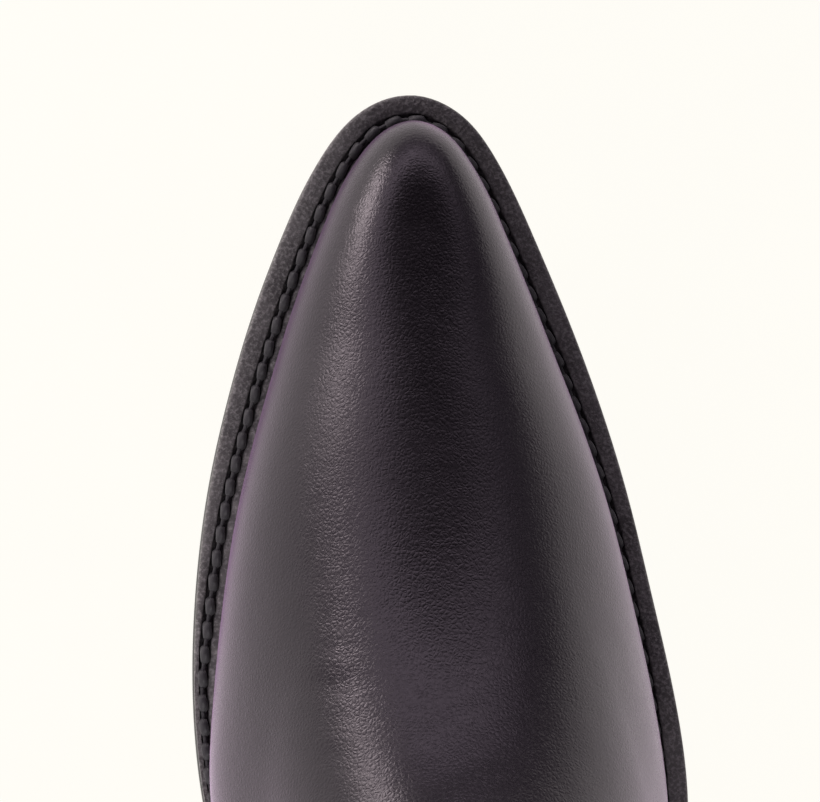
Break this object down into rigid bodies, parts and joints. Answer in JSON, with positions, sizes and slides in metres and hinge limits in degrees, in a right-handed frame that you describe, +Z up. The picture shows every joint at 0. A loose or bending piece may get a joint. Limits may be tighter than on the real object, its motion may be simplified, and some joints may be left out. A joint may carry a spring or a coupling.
{
  "type": "cowboy boot",
  "caption": "Right-foot black leather cowboy boot with a plain pointed toe, stitched welt, scalloped shaft, pull straps and an underslung stacked heel.",
  "frame": {"origin": "middle of the bounding box, on the ground", "axes": "+Z up, +Y towards the toe, +X towards the outer (little toe) side"},
  "size_m": [0.112, 0.29, 0.3595],
  "materials": {
    "upper_leather": "smooth, satin, fine grain",
    "lining_leather": "matt, undyed pigskin",
    "stiffener": "raw, matt",
    "sole_leather": "edge-dressed, satin",
    "heel_stack": "edge-dressed, satin",
    "insole_leather": "raw, matt",
    "cork": "granular, matt",
    "steel": "brushed",
    "thread": "waxed",
    "rubber": "matt",
    "brass": "worn"
  },
  "bodies": {
    "boot": {"vamp": "upper_leather", "counter_cover": "upper_leather", "shaft_front": "upper_leather", "shaft_back": "upper_leather", "side_piping_outer": "upper_leather", "side_piping_inner": "upper_leather", "top_binding": "upper_leather", "pull_tail_outer_outside": "upper_leather", "pull_tail_outer_inside": "upper_leather", "pull_tail_inner_outside": "upper_leather", "pull_tail_inner_inside": "upper_leather", "vamp_lining": "lining_leather", "shaft_lining_front": "lining_leather", "shaft_lining_back": "lining_leather", "sock_lining": "lining_leather", "toe_box": "stiffener", "vamp_interlining": "stiffener", "heel_counter": "stiffener", "outsole": "sole_leather", "welt": "sole_leather", "heel_rand": "sole_leather", "heel_wedge": "heel_stack", "heel_lift_1": "heel_stack", "heel_lift_2": "heel_stack", "heel_lift_3": "heel_stack", "heel_lift_4": "heel_stack", "insole": "insole_leather", "bottom_filler": "cork", "shank": "steel", "welt_thread": "thread", "top_lift": "rubber", "heel_nail_1": "brass", "heel_nail_2": "brass", "heel_nail_3": "brass", "heel_nail_4": "brass", "heel_nail_5": "brass", "heel_nail_6": "brass", "heel_nail_7": "brass"},
    "pull_strap_outer": {"pull_loop_outer": "upper_leather"},
    "pull_strap_inner": {"pull_loop_inner": "upper_leather"}
  },
  "joints": [
    {"name": "pull_strap_outer_hinge", "type": "hinge", "parent": "boot", "child": "pull_strap_outer", "pos_m": [0.0474, -0.0815, 0.3247], "axis": [0, 1, 0], "range_deg": [-20, 25]},
    {"name": "pull_strap_inner_hinge", "type": "hinge", "parent": "boot", "child": "pull_strap_inner", "pos_m": [-0.0474, -0.0815, 0.3247], "axis": [0, -1, 0], "range_deg": [-20, 25]}
  ]
}
